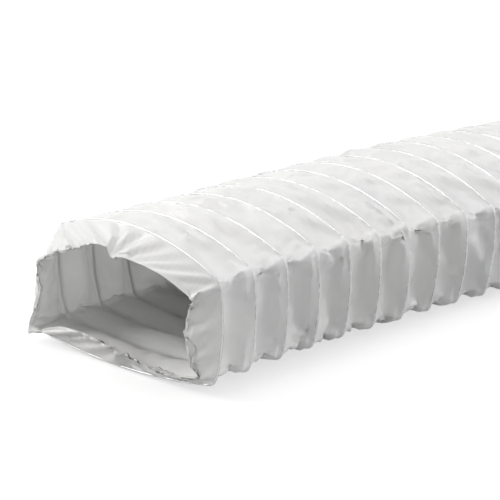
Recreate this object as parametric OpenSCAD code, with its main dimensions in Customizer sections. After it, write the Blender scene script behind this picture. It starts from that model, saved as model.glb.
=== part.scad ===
// Rectangular flexible ventilation duct: one film sleeve held open by one helical spring wire.
// The duct lies on a floor and bends gently sideways. Units are millimetres.
// Origin: centre of the front mouth. +Y runs into the duct, +X is the viewer's right, +Z is up.

/* [Duct] */
// Width between the corners of the wire loops
duct_w = 216; // [150:1:260]
// Height between the corners of the wire loops
duct_h = 88; // [60:1:120]
// Radius of each wire corner
corner_r = 9; // [6:1:14]
// Radius of the sideways bend, along the middle of the duct
bend_r = 4000; // [2000:100:8000]

/* [Wire] */
// Number of turns that the wire makes
turns = 25; // [4:1:25]
// Distance from one turn to the next
pitch = 39.5; // [34:0.5:44]
// Diameter of the spring wire
wire_d = 1.8; // [1.2:0.1:2.4]

/* [Crown] */
// Height of the arch of the top run over its corners
crown_top = 23; // [10:1:30]
// Sag of the bottom run below its corners
crown_bottom = 11; // [4:1:14]
// Bulge of each side run past its corners
crown_side = 6; // [2:1:9]

/* [Film] */
// Thickness of the film wall, two welded layers
film_t = 0.5; // [0.4:0.1:1]
// Depth to which the film falls in between two turns
pleat_depth = 8; // [4:0.5:10]
// Shortest stretch of bare film past the wire's end
lip_min = 6; // [3:1:10]
// How far the free edge of the film leans in at each mouth
lip_lean = 13; // [4:1:16]

/* [Hidden] */

FILM_COLOUR = [0.93, 0.93, 0.92];
WIRE_COLOUR = [0.62, 0.63, 0.65];
FIT_GAP = 0.05;
LIP_REACH = 30;
LIP_ROWS = 2;
WIRE_SIDES = 6;
// Share of the pleat's depth at each row from one turn to just before the next
PLEAT_ROWS = [0, 0.66, 1, 0.66];
PLEAT_STEPS = [0, 0.22, 0.5, 0.78];
ROWS = len(PLEAT_ROWS);

function lerp(a, b, t) = a + (b - a) * t;
function unit(v) = v / norm(v);

// The loop's sharp corners, from bottom left round to top left as seen from the mouth.
// Each run is [start corner, outward direction, crown, segments].
CORNERS = [[-duct_w / 2, -duct_h / 2], [duct_w / 2, -duct_h / 2], [duct_w / 2, duct_h / 2], [-duct_w / 2, duct_h / 2]];
RUNS = [
    [0, [0, -1], crown_bottom, 4],
    [1, [1, 0], crown_side, 2],
    [2, [0, 1], crown_top, 5],
    [3, [-1, 0], crown_side, 2]
];

function run_point(run, t) =
    let (a = CORNERS[run[0]], b = CORNERS[(run[0] + 1) % 4], u = lerp(corner_r / norm(b - a), 1 - corner_r / norm(b - a), t))
    lerp(a, b, u) + run[1] * run[2] * (1 - pow(2 * u - 1, 2));

// A corner is a quadratic curve that leaves one run and meets the next
function corner_point(a, c, b, t) = a * pow(1 - t, 2) + c * 2 * t * (1 - t) + b * t * t;

SECTION = [
    for (k = [0:3])
        let (run = RUNS[k], next = RUNS[(k + 1) % 4], steps = run[3], a = run_point(run, 1), b = run_point(next, 0),
             push = (run[1] * next[2] + next[1] * run[2]) / 12)
        each [
            for (i = [0:steps]) run_point(run, i / steps),
            corner_point(a, CORNERS[(k + 1) % 4] + push, b, 0.5)
        ]
];
COLUMNS = len(SECTION);
SEGMENTS = [for (i = [0:COLUMNS - 1]) norm(SECTION[(i + 1) % COLUMNS] - SECTION[i])];
function sum_to(list, n) = n == 0 ? 0 : list[n - 1] + sum_to(list, n - 1);
PERIMETER = sum_to(SEGMENTS, COLUMNS);
// Share of the way round at each column, so that the wire climbs evenly
ROUND = [for (i = [0:COLUMNS - 1]) sum_to(SEGMENTS, i) / PERIMETER];
OUTWARD = [
    for (i = [0:COLUMNS - 1])
        let (d = unit(SECTION[(i + 1) % COLUMNS] - SECTION[(i + COLUMNS - 1) % COLUMNS]))
        [d[1], -d[0]]
];
DUCT_L = turns * pitch + 2 * lip_min;

// A point of the straight duct, bent onto the arc
function bend(x, s, z) =
    let (a = s / bend_r * 180 / PI)
    [bend_r * (1 - cos(a)) + x * cos(a), bend_r * sin(a) - x * sin(a), z];

// The point at one column, at distance s from the front mouth, moved in by depth
function wall_point(i, s, depth) =
    let (q = SECTION[i] - OUTWARD[i] * depth)
    bend(q[0], s, q[1]);

// Distance of the wire from the front mouth, after some turns
function wire_s(turn) = lip_min + pitch * turn;

// One column of the film from the front mouth to the rear one, as [distance, depth] pairs
function film_column(i) =
    let (first = wire_s(ROUND[i]), last = wire_s(ROUND[i] + turns - 1), rest = DUCT_L - last,
         front_in = lip_lean * min(1, first / LIP_REACH), rear_in = lip_lean * min(1, rest / LIP_REACH))
    [
        for (k = [0:LIP_ROWS - 1]) let (t = k / LIP_ROWS) [first * t, front_in * pow(1 - t, 1.4)],
        for (k = [0:turns - 2]) for (r = [0:ROWS - 1])
            [first + pitch * (k + PLEAT_STEPS[r]), pleat_depth * PLEAT_ROWS[r]],
        [last, 0],
        for (k = [1:LIP_ROWS]) let (t = k / LIP_ROWS) [last + rest * t, rear_in * pow(t, 1.4)]
    ];
FILM_ROWS = 2 * LIP_ROWS + (turns - 1) * ROWS + 1;
function film_index(i, r, side) = (side * COLUMNS + i) * FILM_ROWS + r;

// Triangles between two lists of corners, which may differ in length
function zip(a, b) =
    let (na = len(a) - 1, steps = na + len(b) - 1)
    [
        for (k = [0:steps - 1])
            let (i = round(k * na / steps), i2 = round((k + 1) * na / steps), j = k - i, j2 = k + 1 - i2)
            i2 > i ? [b[j], a[i2], a[i]] : [b[j], b[j2], a[i]]
    ];
function range_of(i, from, to, side) = [for (r = [from:to]) film_index(i, r, side)];
function flip(faces) = [for (f = faces) [f[2], f[1], f[0]]];

// The last column meets the first one a whole turn further on, because the wire climbs
function film_skin(side) =
    let (last = FILM_ROWS - 1, c = COLUMNS - 1, end = last - LIP_ROWS)
    [
        for (i = [0:COLUMNS - 2]) each zip(range_of(i, 0, last, side), range_of(i + 1, 0, last, side)),
        each zip(range_of(c, 0, LIP_ROWS, side), range_of(0, 0, LIP_ROWS + ROWS, side)),
        each zip(range_of(c, LIP_ROWS, end - ROWS, side), range_of(0, LIP_ROWS + ROWS, end, side)),
        each zip(range_of(c, end - ROWS, last, side), range_of(0, end, last, side))
    ];

module film_sleeve() {
    points = [
        for (side = [0:1]) for (i = [0:COLUMNS - 1]) for (p = film_column(i)) wall_point(i, p[0], p[1] + side * film_t)
    ];
    rims = [
        for (i = [0:COLUMNS - 1])
            let (j = (i + 1) % COLUMNS)
            each [
                each zip([film_index(i, 0, 1), film_index(i, 0, 0)], [film_index(j, 0, 1), film_index(j, 0, 0)]),
                each flip(zip([film_index(i, FILM_ROWS - 1, 1), film_index(i, FILM_ROWS - 1, 0)],
                              [film_index(j, FILM_ROWS - 1, 1), film_index(j, FILM_ROWS - 1, 0)]))
            ]
    ];
    color(FILM_COLOUR) polyhedron(points, concat(film_skin(0), flip(film_skin(1)), rims));
}

// The wire lies against the inside of the film's crest, from the front mouth's lower left corner
module wire_helix() {
    rise = pleat_depth * PLEAT_ROWS[1] / (pitch * PLEAT_STEPS[1]);
    depth = film_t + wire_d / 2 * sqrt(1 + rise * rise) + FIT_GAP;
    stations = turns * COLUMNS;
    points = [
        for (n = [0:stations - 1])
            let (i = n % COLUMNS, s = wire_s(ROUND[i] + floor(n / COLUMNS)))
            for (k = [0:WIRE_SIDES - 1])
                let (a = 360 * k / WIRE_SIDES)
                wall_point(i, s + wire_d / 2 * sin(a), depth - wire_d / 2 * cos(a))
    ];
    ring = [for (k = [0:WIRE_SIDES - 1]) k];
    faces = [
        for (n = [0:stations - 2]) for (k = [0:WIRE_SIDES - 1])
            let (a = n * WIRE_SIDES, b = a + WIRE_SIDES, k2 = (k + 1) % WIRE_SIDES)
            each [[b + k, a + k2, a + k], [b + k, b + k2, a + k2]],
        ring,
        [for (k = ring) stations * WIRE_SIDES - 1 - k]
    ];
    color(WIRE_COLOUR) polyhedron(points, faces);
}

film_sleeve();
wire_helix();
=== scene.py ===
# %% [markdown]
# A rectangular flexible ventilation duct. White film is wound as a strip over one spring wire, which
# climbs from the front mouth to the rear one as a rounded rectangular helix. The film is longer than the
# way from turn to turn, so it falls in between them in folds. Everything here is in metres in the
# object's own frame: the origin is the centre of the front mouth, +Y runs into the duct, +Z is up.

# %% Load the frame
import math
import time

import bmesh
import bpy
import numpy as np
from mathutils import Matrix, Vector


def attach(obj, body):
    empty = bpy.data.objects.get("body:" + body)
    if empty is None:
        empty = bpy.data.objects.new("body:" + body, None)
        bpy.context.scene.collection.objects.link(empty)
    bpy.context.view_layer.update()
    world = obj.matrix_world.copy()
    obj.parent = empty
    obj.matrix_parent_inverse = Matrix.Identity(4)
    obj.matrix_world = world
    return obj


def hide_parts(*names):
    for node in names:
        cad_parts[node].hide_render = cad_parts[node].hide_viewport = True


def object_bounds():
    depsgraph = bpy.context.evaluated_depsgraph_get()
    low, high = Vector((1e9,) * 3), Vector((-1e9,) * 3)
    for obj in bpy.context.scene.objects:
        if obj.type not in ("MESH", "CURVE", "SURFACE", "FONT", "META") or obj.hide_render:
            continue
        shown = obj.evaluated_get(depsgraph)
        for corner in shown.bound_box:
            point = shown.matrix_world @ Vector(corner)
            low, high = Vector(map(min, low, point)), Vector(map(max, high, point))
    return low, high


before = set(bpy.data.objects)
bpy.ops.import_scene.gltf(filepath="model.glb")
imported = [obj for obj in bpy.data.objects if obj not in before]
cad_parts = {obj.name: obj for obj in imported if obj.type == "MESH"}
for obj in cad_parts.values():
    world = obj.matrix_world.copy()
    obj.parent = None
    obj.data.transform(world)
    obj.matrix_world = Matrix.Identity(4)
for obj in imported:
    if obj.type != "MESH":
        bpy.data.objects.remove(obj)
cad_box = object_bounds()
scene = bpy.context.scene
print("solid model:", [[round(v, 4) for v in corner] for corner in cad_box])

# %% [markdown]
# The driving dimensions repeat those of the solids: the loop between its corners, the crowns of its four
# runs, and the helix.

# %% Driving dimensions
MM = 0.001
DUCT_W = 216 * MM
DUCT_H = 88 * MM
CORNER_R = 9 * MM
BEND_R = 4000 * MM
TURNS = 25
PITCH = 39.5 * MM
WIRE_D = 1.8 * MM
CROWN_TOP = 23 * MM
CROWN_BOTTOM = 11 * MM
CROWN_SIDE = 6 * MM
LIP_MIN = 6 * MM
DUCT_L = TURNS * PITCH + 2 * LIP_MIN
FILM_T = 0.4 * MM

# %% [markdown]
# One wire loop, seen from the mouth, is four arched runs joined by rounded corners. A fine outline of it,
# measured along its length, gives the place and the outward direction at any share of the way round,
# from the bottom left corner, along the bottom, up the right side, back along the top and down the left.

# %% The loop's outline
CORNERS = np.array([[-DUCT_W, -DUCT_H], [DUCT_W, -DUCT_H], [DUCT_W, DUCT_H], [-DUCT_W, DUCT_H]]) / 2
OUT = np.array([[0, -1], [1, 0], [0, 1], [-1, 0]])
CROWNS = [CROWN_BOTTOM, CROWN_SIDE, CROWN_TOP, CROWN_SIDE]


def run_point(run, share):
    a, b = CORNERS[run], CORNERS[(run + 1) % 4]
    inset = CORNER_R / np.linalg.norm(b - a)
    share = inset + (1 - 2 * inset) * share
    return a + (b - a) * share + OUT[run] * CROWNS[run] * (1 - (2 * share - 1) ** 2)


def corner_point(run, share):
    a, b, after = run_point(run, 1), run_point((run + 1) % 4, 0), (run + 1) % 4
    tip = CORNERS[after] + (OUT[run] * CROWNS[after] + OUT[after] * CROWNS[run]) / 12
    return a * (1 - share) ** 2 + tip * 2 * share * (1 - share) + b * share**2


FINE = 80
outline = np.array([
    point(run, step / FINE)
    for run in range(4) for point in (run_point, corner_point) for step in range(FINE)
])
lengths = np.linalg.norm(np.roll(outline, -1, axis=0) - outline, axis=1)
around = np.concatenate([[0], np.cumsum(lengths)]) / lengths.sum()
PERIMETER = lengths.sum()
closed_outline = np.vstack([outline, outline[:1]])
tangent = np.roll(outline, -1, axis=0) - np.roll(outline, 1, axis=0)
normal = np.stack([tangent[:, 1], -tangent[:, 0]], axis=1)
normal /= np.linalg.norm(normal, axis=1)[:, None]
closed_normal = np.vstack([normal, normal[:1]])
RUN_STARTS = around[0 : 8 * FINE : 2 * FINE]
RUN_ENDS = around[FINE : 8 * FINE : 2 * FINE]
print("way round the loop:", round(PERIMETER, 4), "m, film", round(PERIMETER * DUCT_L, 3), "m2")


def on_loop(share):
    """Place (x, z) and outward direction at a share of the way round."""
    share = np.mod(share, 1.0)
    place = np.stack([np.interp(share, around, closed_outline[:, k]) for k in (0, 1)], axis=-1)
    out = np.stack([np.interp(share, around, closed_normal[:, k]) for k in (0, 1)], axis=-1)
    return place, out / np.linalg.norm(out, axis=-1)[..., None]


# %% [markdown]
# The straight duct is then bent sideways onto its arc. A real one is never quite even, so it also twists
# a few degrees one way and back along its length.

# %% Bend and twist
TWIST_DIP = math.radians(-1.6)
TWIST_RISE = math.radians(2.6)


def twist_at(s):
    """Roll of the loops, in radians: a slight dip behind the mouth, and the other way further on."""
    dip = TWIST_DIP * np.sin(np.pi * np.clip(s / 0.255, 0, 1))
    rise = TWIST_RISE * np.sin(np.pi / 2 * np.clip((s - 0.255) / 0.2, 0, 1)) ** 2
    settle = 1 - np.clip((s - 0.5) / 0.4, 0, 1)
    return dip + rise * settle


def to_duct(x, s, z):
    """A point of the straight duct, at distance s from the front mouth, in its real place."""
    roll = twist_at(s)
    turned_x = x * np.cos(roll) + z * np.sin(roll)
    turned_z = z * np.cos(roll) - x * np.sin(roll)
    angle = s / BEND_R
    return np.stack([
        BEND_R * (1 - np.cos(angle)) + turned_x * np.cos(angle),
        BEND_R * np.sin(angle) - turned_x * np.sin(angle),
        turned_z,
    ], axis=-1)


# %% [markdown]
# The camera stands to the right of the mouth and a little above it, as far off as a photographer's short
# telephoto needs, and is rolled by about a degree.

# %% Camera
CAMERA_AZIMUTH = math.radians(42.92)
CAMERA_HEIGHT = math.radians(17.84)
CAMERA_ROLL = math.radians(1.06)
CAMERA_DISTANCE = 1.7
CAMERA_TARGET = Vector((-0.096, 0.2761, -0.0319))
FOCAL_PIXELS = 1722.9
PHOTO_SIZE = 500

camera_data = bpy.data.cameras.new("camera")
camera = bpy.data.objects.new("camera", camera_data)
scene.collection.objects.link(camera)
scene.camera = camera
camera_data.sensor_width = 36
camera_data.lens = camera_data.sensor_width * FOCAL_PIXELS / PHOTO_SIZE
camera_data.clip_end = 20
back = Vector((
    math.sin(CAMERA_AZIMUTH) * math.cos(CAMERA_HEIGHT),
    -math.cos(CAMERA_AZIMUTH) * math.cos(CAMERA_HEIGHT),
    math.sin(CAMERA_HEIGHT),
))
turn = back.to_track_quat("Z", "Y").to_matrix().to_4x4()
camera.matrix_world = (
    Matrix.Translation(CAMERA_TARGET + back * CAMERA_DISTANCE) @ turn @ Matrix.Rotation(CAMERA_ROLL, 4, "Z")
)
print("lens:", round(camera_data.lens, 1), "mm")

# %% [markdown]
# The film is one long skin. A flat grid is made with an operator: its columns go round the loop, and its
# rows climb with the wire, so that each turn of wire lies exactly on a row. Before the first turn and
# after the last one the rows fan out from the cut mouth. Columns are closer at the corners, where film
# puckers, and rows are closer beside the wire.

# %% Film grid
RUN_COLUMNS = [36, 20, 42, 20]
CORNER_COLUMNS = 7
ROW_OFFSETS = np.array([0, 1.4, 4, 8, 12.5, 17, 21.5, 26, 30.6, 31.4, 34.6, 38.1]) * MM / PITCH
LIP_ROWS = 5

column_share = []
for run in range(4):
    count = RUN_COLUMNS[run]
    for step in range(count):
        eased = 0.5 - 0.5 * math.cos(math.pi * step / count)
        share = 0.35 * eased + 0.65 * step / count
        column_share.append(RUN_STARTS[run] + (RUN_ENDS[run] - RUN_STARTS[run]) * share)
    corner_end = RUN_STARTS[run + 1] if run < 3 else 1.0
    for step in range(CORNER_COLUMNS):
        column_share.append(RUN_ENDS[run] + (corner_end - RUN_ENDS[run]) * step / CORNER_COLUMNS)
column_share = np.array(column_share + [1.0])
ROWS_PER_TURN = len(ROW_OFFSETS)
COLUMNS = len(column_share) - 1
ROWS = (TURNS + 1) * ROWS_PER_TURN + 2 * LIP_ROWS


def row_place(row):
    """(turn, part of a turn) of a row, where the wire's first loop is turn 0."""
    row = np.asarray(row) - LIP_ROWS - ROWS_PER_TURN
    whole = np.floor_divide(row, ROWS_PER_TURN)
    return whole, ROW_OFFSETS[np.mod(row, ROWS_PER_TURN)]


def along_duct(share, row):
    """Distance from the front mouth at a share of the way round and a row of the grid."""
    whole, part = row_place(row)
    climb = LIP_MIN + PITCH * (whole + part + share)
    start, end = LIP_MIN, LIP_MIN + TURNS * PITCH
    fan = start + (climb - start + PITCH * (1 - share)) * share
    front_fan = start + PITCH * share * part
    last = LIP_MIN + PITCH * (TURNS - 1 + share)
    rear_fan = last + (end - last) * part
    s = np.where(whole < 0, front_fan, np.where(whole >= TURNS - 1, rear_fan, climb))
    s = np.where(row <= LIP_ROWS, LIP_MIN * row / LIP_ROWS, s)
    return np.where(row >= ROWS - LIP_ROWS, DUCT_L - LIP_MIN * (ROWS - row) / LIP_ROWS, s)


bm = bmesh.new()
bmesh.ops.create_grid(bm, x_segments=COLUMNS, y_segments=ROWS, size=0.5)
share_layer = bm.verts.layers.float.new("share")
row_layer = bm.verts.layers.float.new("row")
for vert in bm.verts:
    column = round((vert.co.x + 0.5) * COLUMNS)
    vert[share_layer] = column_share[column]
    vert[row_layer] = round((vert.co.y + 0.5) * ROWS)
film_mesh = bpy.data.meshes.new("film_sleeve_skin")
bm.to_mesh(film_mesh)
bm.free()
print("film grid:", COLUMNS, "x", ROWS, "=", COLUMNS * ROWS, "faces")


def read_floats(mesh, name):
    values = np.empty(len(mesh.vertices), np.float32)
    mesh.attributes[name].data.foreach_get("value", values)
    return values.astype(float)


def set_points(mesh, points):
    mesh.vertices.foreach_set("co", np.asarray(points, np.float32).ravel())
    mesh.update()


def get_points(mesh):
    points = np.empty(len(mesh.vertices) * 3, np.float32)
    mesh.vertices.foreach_get("co", points)
    return points.reshape(-1, 3).astype(float)


share, row = read_floats(film_mesh, "share"), np.rint(read_floats(film_mesh, "row")).astype(int)
place, out = on_loop(share)
distance = along_duct(share, row)
set_points(film_mesh, to_duct(place[:, 0], distance, place[:, 1]))
bm = bmesh.new()
bm.from_mesh(film_mesh)
bmesh.ops.remove_doubles(bm, verts=bm.verts, dist=0.02 * MM)
bmesh.ops.recalc_face_normals(bm, faces=bm.faces)
bm.to_mesh(film_mesh)
bm.free()
film = bpy.data.objects.new("film_sleeve_skin", film_mesh)
scene.collection.objects.link(film)
print("film skin:", len(film_mesh.polygons), "faces")

# %% [markdown]
# At each mouth the film runs on past the wire as a free lip, and turns in. The free edge of the front lip
# is set point by point from the photograph, with the share of the way round that it starts from.

# %% Free edges
# Share of the way round, then x, distance into the duct and z, in millimetres
FRONT_EDGE = [
    (0.000, -104, 1, -50), (0.010, -84, 2, -40), (0.020, -66, 4, -34), (0.075, -36, 6, -33), (0.130, -11, 7, -36), (0.195, 16, 10, -41),
    (0.240, 39, 12, -45), (0.285, 60, 14, -46), (0.335, 93, 15, -39), (0.353, 88, 12, -31),
    (0.380, 86, 8, -16), (0.420, 86, 6, 3), (0.462, 89, 7, 22), (0.490, 91, 8, 29),
    (0.550, 57, 6, 43), (0.625, 14, 8, 46), (0.675, -6, 9, 43), (0.690, -11, 10, 49),
    (0.720, -26, 10, 49), (0.775, -50, 8, 40), (0.845, -82, 8, 29), (0.890, -100, 8, 11),
    (0.925, -90, 3, -6), (0.955, -92, 2, -21), (0.982, -101, 0, -37),
]
# Where the lip folds over: share of the way round, distance into the duct, and how far inside the loop,
# in millimetres. Behind its fold the lip runs on along the duct.
FRONT_FOLD = [
    (0.000, 1, 1.5), (0.100, 5, 1.5), (0.250, 10, 1.5), (0.330, 12, 1.5), (0.400, 14, 1.5), (0.470, 17, 1.5),
    (0.500, 16, 4), (0.560, 14, 11), (0.620, 14, 9), (0.665, 14, 8), (0.685, 18, 13), (0.705, 20, 4),
    (0.750, 18, 2), (0.820, 15, 2), (0.850, 13, 2), (0.890, 9, 2), (0.940, 4, 2), (0.980, 2, 2),
]


def closed_curve(share, knots, values):
    """A smooth closed curve through values at knots, sampled at share."""
    knots, values = np.asarray(knots, float), np.asarray(values, float)
    knots = np.concatenate([knots[-2:] - 1, knots, knots[:2] + 1])
    values = np.vstack([values[-2:], values, values[:2]])
    slope = (values[2:] - values[:-2]) / (knots[2:] - knots[:-2])[:, None]
    k = np.clip(np.searchsorted(knots, share, side="right") - 1, 1, len(knots) - 3)
    width = (knots[k + 1] - knots[k])[:, None]
    t = ((share - knots[k]) / (knots[k + 1] - knots[k]))[:, None]
    start, end = values[k], values[k + 1]
    lean_in, lean_out = slope[k - 1] * width, slope[k] * width
    return (
        start * (1 + 2 * t) * (1 - t) ** 2 + lean_in * t * (1 - t) ** 2
        + end * t**2 * (3 - 2 * t) + lean_out * t**2 * (t - 1)
    )


front_edge_knots = [point[0] for point in FRONT_EDGE]
front_edge_places = [[v * MM for v in point[1:]] for point in FRONT_EDGE]
front_fold_knots = [point[0] for point in FRONT_FOLD]
front_fold_places = [[v * MM for v in point[1:]] for point in FRONT_FOLD]
REAR_TURN_IN = 17 * MM


def front_edge(share):
    """Free edge of the front lip as (x, s, z)."""
    return closed_curve(np.mod(share, 1), front_edge_knots, front_edge_places)


def rear_edge(share):
    """Free edge of the rear lip as (x, s, z)."""
    place, out = on_loop(share)
    ripple = 4 * np.sin(2 * np.pi * 7 * share) + 3 * np.sin(2 * np.pi * 12 * share + 1)
    place = place - out * (REAR_TURN_IN + ripple[:, None] * MM)
    reach = DUCT_L - (6 + 3 * np.sin(2 * np.pi * 5 * share)) * MM
    return np.stack([place[:, 0], reach, place[:, 1]], axis=1)


def front_fold(share):
    """Fold line of the front lip as (x, s, z)."""
    reach, depth = closed_curve(np.mod(share, 1), front_fold_knots, front_fold_places).T
    place, out = on_loop(share)
    place = place - out * depth[:, None]
    return np.stack([place[:, 0], reach, place[:, 1]], axis=1)


def rear_fold(share):
    """Fold line of the rear lip as (x, s, z)."""
    place, out = on_loop(share)
    place = place - out * 2 * MM
    return np.stack([place[:, 0], np.full(len(share), DUCT_L - 3 * MM), place[:, 1]], axis=1)


FOLD_ROUNDING = 0.09


def lip_path(start, fold, edge, t):
    """Points on the folded way from the wire to the free edge, and the length of that way."""
    first_leg = np.linalg.norm(fold - start, axis=1)
    second_leg = np.linalg.norm(edge - fold, axis=1)
    fold_t = first_leg / (first_leg + second_leg + 1e-9)
    reach = np.minimum(FOLD_ROUNDING, np.minimum(t, 1 - t))
    points = 0
    for offset in (-1, -0.5, 0, 0.5, 1):
        at = t + reach * offset
        before = np.clip(at / np.maximum(fold_t, 1e-6), 0, 1)[:, None]
        after = np.clip((at - fold_t) / np.maximum(1 - fold_t, 1e-6), 0, 1)[:, None]
        points = points + (start + (fold - start) * before + (edge - fold) * after) / 5
    return points, first_leg + second_leg


# %% [markdown]
# Between two turns the film is longer than the way across, so it falls in. Beside each corner of the wire,
# where the sunk film has less way to go round than it has length, it stands out in three-cornered gussets
# and pinched folds. Older creases from packing and stretching run along each side. These folds are worked
# into the film's shape at rest, so that the simulation deepens them and doesn't have to find them.

# %% Where each point of the film is
share, row = read_floats(film_mesh, "share"), np.rint(read_floats(film_mesh, "row")).astype(int)
place, out = on_loop(share)
distance = along_duct(share, row)
whole, part = row_place(row)
LAP = 8.5 * MM
loose = PITCH - LAP
between = np.clip(part * PITCH / loose, 0, 1)
inner = (whole >= 0) & (whole < TURNS - 1)
SLACK = 1.14
LIP_SLACK = 1.01
PUSH_FRAMES = 16
FRAMES = 26
MID_DEPTH = 1.4 * MM
print("loose film between two laps:", round(loose / MM, 1), "mm")

# %% Folds of the film at rest
# Sag in the middle of the bottom, right, top and left runs, and at the corners, in millimetres
SAGS = [6, 9, 5, 8]
CORNER_SAG = 4
sag_knots, sag_values = [], []
for run in range(4):
    run_length = RUN_ENDS[run] - RUN_STARTS[run]
    sag_knots += [RUN_STARTS[run] + run_length * t for t in (0.02, 0.25, 0.75, 0.98)]
    sag_values += [[CORNER_SAG * MM], [SAGS[run] * MM], [SAGS[run] * MM], [CORNER_SAG * MM]]
sag = closed_curve(np.mod(share, 1), sag_knots, sag_values)[:, 0]
# A gusset is the three-cornered fold beside each corner, where the film has more length than it needs
GUSSET_REACH = 24 * MM
CORNER_SHARES = [0.0] + [(RUN_ENDS[run] + RUN_STARTS[run + 1]) / 2 for run in range(3)]


def tent(value):
    """1 at zero, falling straight to nothing at -1 and 1."""
    return np.maximum(0, 1 - np.abs(value))


def film_folds(share, between, turn):
    """Depth of the folds at rest, in metres, for every turn of the film."""
    depth = np.zeros(len(share))
    rng = np.random.default_rng(11)
    for k in range(TURNS - 1):
        at = np.flatnonzero(turn == k)
        u, v = share[at], between[at]
        lean = 0.5 + 0.16 * np.sin(2 * np.pi * (u * rng.integers(1, 4) + rng.uniform()))
        valley = np.where(v < lean, v / lean, (1 - v) / (1 - lean))
        swell = 1 + 0.25 * np.sin(2 * np.pi * (5 * u + rng.uniform()))
        valley = np.sin(np.pi / 2 * valley) * sag[at] * swell
        for corner in CORNER_SHARES:
            away = np.abs((u - corner + 0.5) % 1 - 0.5) * PERIMETER
            reach = GUSSET_REACH * rng.uniform(0.7, 1.5)
            floor_line = (2.5 + rng.uniform(-1, 1)) * MM + away / reach * 8 * MM
            valley = np.minimum(valley, floor_line)
            # A pinched fold that runs aslant over the corner
            slant = rng.uniform(-12, 12)
            line = rng.uniform(0.35, 0.65) + slant * ((u - corner + 0.5) % 1 - 0.5)
            valley -= rng.uniform(1.5, 4) * MM * tent((v - line) / 0.16) * tent(away / (16 * MM))
        for run in range(4):
            length = RUN_ENDS[run] - RUN_STARTS[run]
            for crease in range(3 if run % 2 == 0 else 2):
                start = RUN_STARTS[run] + length * rng.uniform(-0.05, 0.6)
                reach = length * rng.uniform(0.3, 0.75)
                drift = rng.uniform(-0.25, 0.25)
                line = rng.uniform(0.2, 0.8) + drift * (u - start) / reach
                fade = np.clip(4 * (u - start) / reach, 0, 1)
                fade = fade * np.clip(4 * (start + reach - u) / reach, 0, 1)
                height = rng.uniform(0.6, 1.6) if run % 2 == 0 else rng.uniform(1.5, 4)
                valley -= height * MM * tent((v - line) / rng.uniform(0.12, 0.25)) * fade
        depth[at] = valley
    return depth


folds = film_folds(share, between, whole) * np.sin(np.pi * between) ** 0.25
folds = np.where(inner, folds, 0)
print("folds:", round(folds.min() / MM, 1), "to", round(folds.max() / MM, 1), "mm deep")

# %% [markdown]
# The film is cut longer than it hangs. One shape key holds the cut film, straight and stretched, and the
# other holds its hung place. Cloth's pins follow the keys, so the wire closes up and the film buckles.

# %% Hung and cut shapes
spot = place - out * (MID_DEPTH + folds)[:, None]
straight = np.stack([spot[:, 0], distance, spot[:, 1]], axis=1)
FIRST, LAST = LIP_MIN, LIP_MIN + PITCH * TURNS
GROWTH = 1 + loose * (SLACK - 1) / PITCH
stretched = FIRST + PITCH * GROWTH * (whole + share) + part * PITCH + between * loose * (SLACK - 1)


def smooth(value):
    """A soft step from 0 to 1."""
    value = np.clip(value, 0, 1)
    return value * value * (3 - 2 * value)


wire_place = place - out * MID_DEPTH


def lip(edge, fold, wire_s, free_s, corner_share, mouth_s):
    """Hung points and cut lengths of the lip between the wire and a free edge, at every vertex.

    Towards corner_share the lip takes up the way it runs on the far side of that corner, where it is
    only as long as from the wire's end, at mouth_s, to the edge.
    """
    start = np.stack([wire_place[:, 0], wire_s, wire_place[:, 1]], axis=1)
    points, length = lip_path(start, fold, edge, np.clip((distance - wire_s) / (free_s - wire_s), 0, 1))
    end = np.stack([wire_place[:, 0], np.full(len(share), mouth_s), wire_place[:, 1]], axis=1)
    end_t = np.clip((distance - mouth_s) / (free_s - mouth_s), 0, 1)
    end_points, end_length = lip_path(end, fold, edge, end_t)
    run_on = np.stack([wire_place[:, 0], distance, wire_place[:, 1]], axis=1)
    end_points = np.where((end_t > 0)[:, None], end_points, run_on)
    near = smooth(1 - np.abs(share - corner_share) / 0.08)
    share_out = np.clip((distance - wire_s) / (free_s - wire_s), 0, 1)
    cut = share_out * length * LIP_SLACK
    end_cut = end_t * end_length * LIP_SLACK
    points = points * (1 - near[:, None]) + end_points * near[:, None]
    return points, cut, end_cut, near


front = whole < 0
rear = (whole > TURNS - 1) | ((whole == TURNS - 1) & (part > 0))
front_wire = FIRST + PITCH * share
rear_wire = LAST - PITCH * (1 - share)
front_points, front_cut, front_end_cut, front_near = lip(
    front_edge(share), front_fold(share), front_wire, 0.0, 1.0, FIRST
)
rear_points, rear_cut, rear_end_cut, rear_near = lip(
    rear_edge(share), rear_fold(share), rear_wire, DUCT_L, 0.0, LAST
)
hung_straight = np.where(front[:, None], front_points, np.where(rear[:, None], rear_points, straight))
hung_points = to_duct(hung_straight[:, 0], hung_straight[:, 1], hung_straight[:, 2])

cut_s = stretched.copy()
cut_first, cut_last = FIRST, FIRST + PITCH * TURNS * GROWTH
front_a = cut_first + PITCH * GROWTH * share - front_cut
front_b = np.where(distance > FIRST, cut_first + (distance - FIRST) * GROWTH, cut_first - front_end_cut)
cut_s = np.where(front, front_a * (1 - front_near) + front_b * front_near, cut_s)
rear_a = cut_last - PITCH * GROWTH * (1 - share) + rear_cut
rear_b = np.where(distance < LAST, cut_last + (distance - LAST) * GROWTH, cut_last + rear_end_cut)
cut_s = np.where(rear, rear_a * (1 - rear_near) + rear_b * rear_near, cut_s)
cut_points = np.stack([spot[:, 0], cut_s, spot[:, 1]], axis=1)
set_points(film_mesh, cut_points)
film.shape_key_add(name="cut")
hung_key = film.shape_key_add(name="hung")
hung_key.data.foreach_set("co", hung_points.astype(np.float32).ravel())
hung_key.value = 0
hung_key.keyframe_insert("value", frame=1)
hung_key.value = 1
hung_key.keyframe_insert("value", frame=PUSH_FRAMES)

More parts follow.
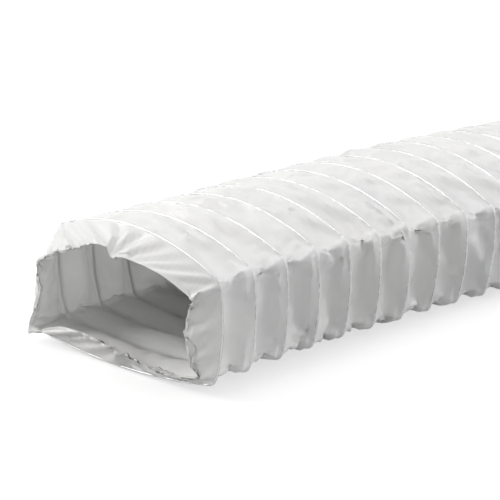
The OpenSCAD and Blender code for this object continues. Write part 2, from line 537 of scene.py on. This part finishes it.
# %% [markdown]
# Blender's cloth modifier does the buckling. Light suction keeps the film on the inner side of the wire. The wire's
# rows and the free edges are pinned, and the result is written back to the mesh.

# %% Cloth
pins = film.vertex_groups.new(name="pins")
on_wire = (part == 0) & (whole >= 0) & (whole <= TURNS - 1)
free_edge = (row == 0) | (row == ROWS)
hold = on_wire | free_edge
pins.add(np.flatnonzero(hold).tolist(), 1.0, "REPLACE")
started = time.time()
cloth = film.modifiers.new("cloth", "CLOTH")
settings = cloth.settings
settings.quality = 5
settings.mass = 0.3
settings.tension_stiffness = 400
settings.compression_stiffness = 400
settings.shear_stiffness = 100
settings.bending_stiffness = 0.005
settings.tension_damping = 1
settings.compression_damping = 1
settings.shear_damping = 1
settings.bending_damping = 0.01
settings.air_damping = 2
settings.effector_weights.gravity = 0.0
settings.vertex_group_mass = "pins"
settings.use_pressure = True
settings.uniform_pressure_force = -80.0
cloth.collision_settings.use_collision = False
cloth.collision_settings.use_self_collision = False
cloth.point_cache.frame_end = FRAMES
for frame_number in range(1, FRAMES + 1):
    scene.frame_set(frame_number)
evaluated = film.evaluated_get(bpy.context.evaluated_depsgraph_get())
hung = get_points(evaluated.to_mesh())
evaluated.to_mesh_clear()
moved = np.linalg.norm(hung - hung_points, axis=1)
print("cloth took", round(time.time() - started), "s")
print("it moved the film by", round(moved.mean() / MM, 1), "mm on average")
film.modifiers.remove(cloth)
film.shape_key_clear()
for action in list(bpy.data.actions):
    bpy.data.actions.remove(action)
scene.frame_set(1)
set_points(film_mesh, hung)
# %% [markdown]
# The spring wire lies inside a lap of the film. So the outer skin swells over it in a narrow bead, and steps
# up a little where the strip laps over its neighbour, just in front of the wire.

# %% Bead and lap
BEAD = 1.0 * MM
LAP_STEP = 0.35 * MM
bead = np.where(on_wire, BEAD, 0.0)
in_lap = part * PITCH > PITCH - LAP - 0.5 * MM
lapped = in_lap & (whole >= -1) & (whole < TURNS - 1) & ~on_wire
bead = np.where(lapped, LAP_STEP, bead)
bead = np.where(row <= LIP_ROWS, 0.0, bead)
normals = np.empty(len(film_mesh.vertices) * 3, np.float32)
film_mesh.vertex_normals.foreach_get("vector", normals)
normals = normals.reshape(-1, 3)
set_points(film_mesh, hung + normals * bead[:, None])
film_mesh.shade_smooth()

wall = film.vertex_groups.new(name="wall")
WALL_MOST = 2.9 * MM
wall.add(np.flatnonzero(on_wire).tolist(), 1.0, "REPLACE")
wall.add(np.flatnonzero(~on_wire).tolist(), FILM_T / WALL_MOST, "REPLACE")
thick = film.modifiers.new("wall", "SOLIDIFY")
thick.thickness = WALL_MOST
thick.offset = -1
thick.vertex_group = "wall"
thick.thickness_vertex_group = 0.0

# %% [markdown]
# The wire itself shows only at its cut end. It is a round bar swept along the same helix by a curve's bevel,
# and then made a mesh.

# %% Spring wire
WIRE_STATIONS = 72
wire_curve = bpy.data.curves.new("spring_wire", "CURVE")
wire_curve.dimensions = "3D"
wire_curve.bevel_depth = WIRE_D / 2
wire_curve.bevel_resolution = 2
wire_curve.use_fill_caps = True
turn_at = np.arange(0.004, TURNS, 1 / WIRE_STATIONS)
wire_spot, wire_out = on_loop(turn_at)
wire_spot = wire_spot - wire_out * MID_DEPTH
wire_points = to_duct(wire_spot[:, 0], LIP_MIN + PITCH * turn_at, wire_spot[:, 1])
spline = wire_curve.splines.new("POLY")
spline.points.add(len(wire_points) - 1)
for point, co in zip(spline.points, wire_points):
    point.co = (*co, 1)
wire_source = bpy.data.objects.new("spring_wire_path", wire_curve)
scene.collection.objects.link(wire_source)
swept = wire_source.evaluated_get(bpy.context.evaluated_depsgraph_get())
wire_mesh = bpy.data.meshes.new_from_object(swept)
bpy.data.objects.remove(wire_source)
wire = bpy.data.objects.new("spring_wire", wire_mesh)
scene.collection.objects.link(wire)
wire_mesh.shade_smooth()
wire_length = np.linalg.norm(np.diff(wire_points, axis=0), axis=1).sum()
print("wire:", round(wire_length, 2), "m,", len(wire_mesh.polygons), "faces")
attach(wire, "root")
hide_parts("wire_helix")

# %% [markdown]
# The film is white plasticised PVC: nearly white, softly glossy and a little translucent, so that light
# comes through to the inside. Its gloss varies in soft patches. Fine creases, too small for the mesh, are
# bumps: the edges of large stretched cells, as in film that has been crumpled, and a faint grain.

# %% Film material
def add_node(tree, kind, **inputs):
    """A new node with its inputs set, by their names with underscores for spaces."""
    node = tree.nodes.new(kind)
    for name, value in inputs.items():
        node.inputs[name.replace("_", " ")].default_value = value
    return node


def principled(name, **inputs):
    """A new material, its node tree and its Principled BSDF, with constants set on the shader itself."""
    material = bpy.data.materials.new(name)
    material.use_nodes = True
    tree = material.node_tree
    shader = tree.nodes["Principled BSDF"]
    for socket, value in inputs.items():
        shader.inputs[socket.replace("_", " ")].default_value = value
    return material, tree, shader


def mapped(tree, scale):
    """Object coordinates, scaled along each axis."""
    coordinates = tree.nodes.new("ShaderNodeTexCoord")
    mapping = add_node(tree, "ShaderNodeMapping", Scale=scale)
    tree.links.new(coordinates.outputs["Object"], mapping.inputs["Vector"])
    return mapping.outputs["Vector"]


film_material, tree, shader = principled(
    "white_pvc_film", Subsurface_Weight=0.35, Subsurface_Radius=(1.0, 1.0, 1.0), Subsurface_Scale=0.004
)
patches = add_node(tree, "ShaderNodeTexNoise", Scale=14.0, Detail=3.0)
tree.links.new(mapped(tree, (1, 1, 1)), patches.inputs["Vector"])
tint = tree.nodes.new("ShaderNodeValToRGB")
tint.color_ramp.elements[0].position, tint.color_ramp.elements[1].position = 0.3, 0.7
tint.color_ramp.elements[0].color = (0.86, 0.865, 0.865, 1)
tint.color_ramp.elements[1].color = (0.915, 0.91, 0.9, 1)
tree.links.new(patches.outputs["Fac"], tint.inputs["Fac"])
tree.links.new(tint.outputs["Color"], shader.inputs["Base Color"])
gloss = add_node(tree, "ShaderNodeMapRange", To_Min=0.25, To_Max=0.4)
tree.links.new(patches.outputs["Fac"], gloss.inputs["Value"])
tree.links.new(gloss.outputs["Result"], shader.inputs["Roughness"])

crumple = add_node(tree, "ShaderNodeTexVoronoi", Scale=38.0)
crumple.feature = "DISTANCE_TO_EDGE"
tree.links.new(mapped(tree, (0.7, 1.4, 1.0)), crumple.inputs["Vector"])
crease_edge = add_node(tree, "ShaderNodeMapRange", From_Max=0.12, To_Min=0.0, To_Max=1.0)
tree.links.new(crumple.outputs["Distance"], crease_edge.inputs["Value"])
crease_bump = add_node(tree, "ShaderNodeBump", Strength=0.16, Distance=0.0006)
tree.links.new(crease_edge.outputs["Result"], crease_bump.inputs["Height"])
ripples = add_node(tree, "ShaderNodeTexNoise", Scale=70.0, Detail=4.0, Roughness=0.6, Distortion=0.6)
tree.links.new(mapped(tree, (0.8, 1.6, 1.0)), ripples.inputs["Vector"])
ripple_bump = add_node(tree, "ShaderNodeBump", Strength=0.22, Distance=0.0009)
tree.links.new(ripples.outputs["Fac"], ripple_bump.inputs["Height"])
tree.links.new(crease_bump.outputs["Normal"], ripple_bump.inputs["Normal"])
tree.links.new(ripple_bump.outputs["Normal"], shader.inputs["Normal"])

film_mesh.materials.append(film_material)
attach(film, "root")
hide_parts("film_sleeve")

# %% [markdown]
# The wire is bright drawn steel, with fine lines along it and slightly duller patches.

# %% Wire material
wire_material, tree, shader = principled("drawn_spring_steel", Metallic=1.0)
drawing = add_node(tree, "ShaderNodeTexNoise", Scale=900.0, Detail=2.0)
tree.links.new(mapped(tree, (0.1, 1, 1)), drawing.inputs["Vector"])
steel_tint = tree.nodes.new("ShaderNodeValToRGB")
steel_tint.color_ramp.elements[0].color = (0.42, 0.42, 0.43, 1)
steel_tint.color_ramp.elements[1].color = (0.66, 0.66, 0.67, 1)
tree.links.new(drawing.outputs["Fac"], steel_tint.inputs["Fac"])
tree.links.new(steel_tint.outputs["Color"], shader.inputs["Base Color"])
dullness = add_node(tree, "ShaderNodeMapRange", To_Min=0.25, To_Max=0.45)
tree.links.new(drawing.outputs["Fac"], dullness.inputs["Value"])
tree.links.new(dullness.outputs["Result"], shader.inputs["Roughness"])
wire_mesh.materials.append(wire_material)

# %% [markdown]
# The stage is a plain floor under a white world. To the camera the floor adds its own light to what falls
# on it, so that it reads as white and still keeps the duct's shadow.

# %% Stage
floor_z = cad_box[0][2]
bm = bmesh.new()
bmesh.ops.create_grid(bm, x_segments=1, y_segments=1, size=6)
floor_mesh = bpy.data.meshes.new("floor")
bm.to_mesh(floor_mesh)
bm.free()
floor_mesh.transform(Matrix.Translation((0, 0, floor_z - 0.5 * MM)))
floor = bpy.data.objects.new("floor", floor_mesh)
scene.collection.objects.link(floor)
floor_material = bpy.data.materials.new("floor")
floor_material.use_nodes = True
floor_mesh.materials.append(floor_material)


def seen_directly(tree):
    """A factor that is 1 for camera, glossy and transmission rays."""
    path = tree.nodes.new("ShaderNodeLightPath")
    total = path.outputs["Is Camera Ray"]
    for name in ("Is Glossy Ray", "Is Transmission Ray"):
        larger = tree.nodes.new("ShaderNodeMath")
        larger.operation = "MAXIMUM"
        tree.links.new(total, larger.inputs[0])
        tree.links.new(path.outputs[name], larger.inputs[1])
        total = larger.outputs[0]
    return total


FLOOR_GLOW = 0.62
tree = floor_material.node_tree
shader = tree.nodes["Principled BSDF"]
shader.inputs["Base Color"].default_value = (0.5, 0.5, 0.5, 1)
shader.inputs["Roughness"].default_value = 0.8
shader.inputs["Specular IOR Level"].default_value = 0.0
shader.inputs["Emission Color"].default_value = (1, 1, 1, 1)
glow = tree.nodes.new("ShaderNodeMath")
glow.operation = "MULTIPLY"
glow.inputs[1].default_value = FLOOR_GLOW
tree.links.new(seen_directly(tree), glow.inputs[0])
tree.links.new(glow.outputs[0], shader.inputs["Emission Strength"])

world = bpy.data.worlds.new("world")
scene.world = world
world.use_nodes = True
tree = world.node_tree
background = tree.nodes["Background"]
background.inputs["Color"].default_value = (1, 1, 1, 1)
WORLD_LIGHT = 0.5
level = tree.nodes.new("ShaderNodeMapRange")
level.inputs["To Min"].default_value = WORLD_LIGHT
level.inputs["To Max"].default_value = 1.0
tree.links.new(seen_directly(tree), level.inputs["Value"])
tree.links.new(level.outputs["Result"], background.inputs["Strength"])


def area_lamp(name, place, aim, size, energy, colour=(1, 1, 1)):
    data = bpy.data.lights.new(name, "AREA")
    data.size = size
    data.energy = energy
    data.color = colour
    lamp = bpy.data.objects.new(name, data)
    scene.collection.objects.link(lamp)
    lamp.location = place
    lamp.rotation_euler = (Vector(aim) - Vector(place)).to_track_quat("-Z", "Y").to_euler()


area_lamp("top", (-0.5, 0.6, 2.0), (0.0, 0.3, 0), 1.6, 16)
area_lamp("left", (-1.8, -1.0, 1.0), (0.0, 0.2, 0), 1.4, 32, (1.0, 0.99, 0.97))
area_lamp("back", (1.5, 2.0, 0.9), (0.1, 0.3, 0), 1.2, 20)
scene.view_settings.view_transform = "Standard"
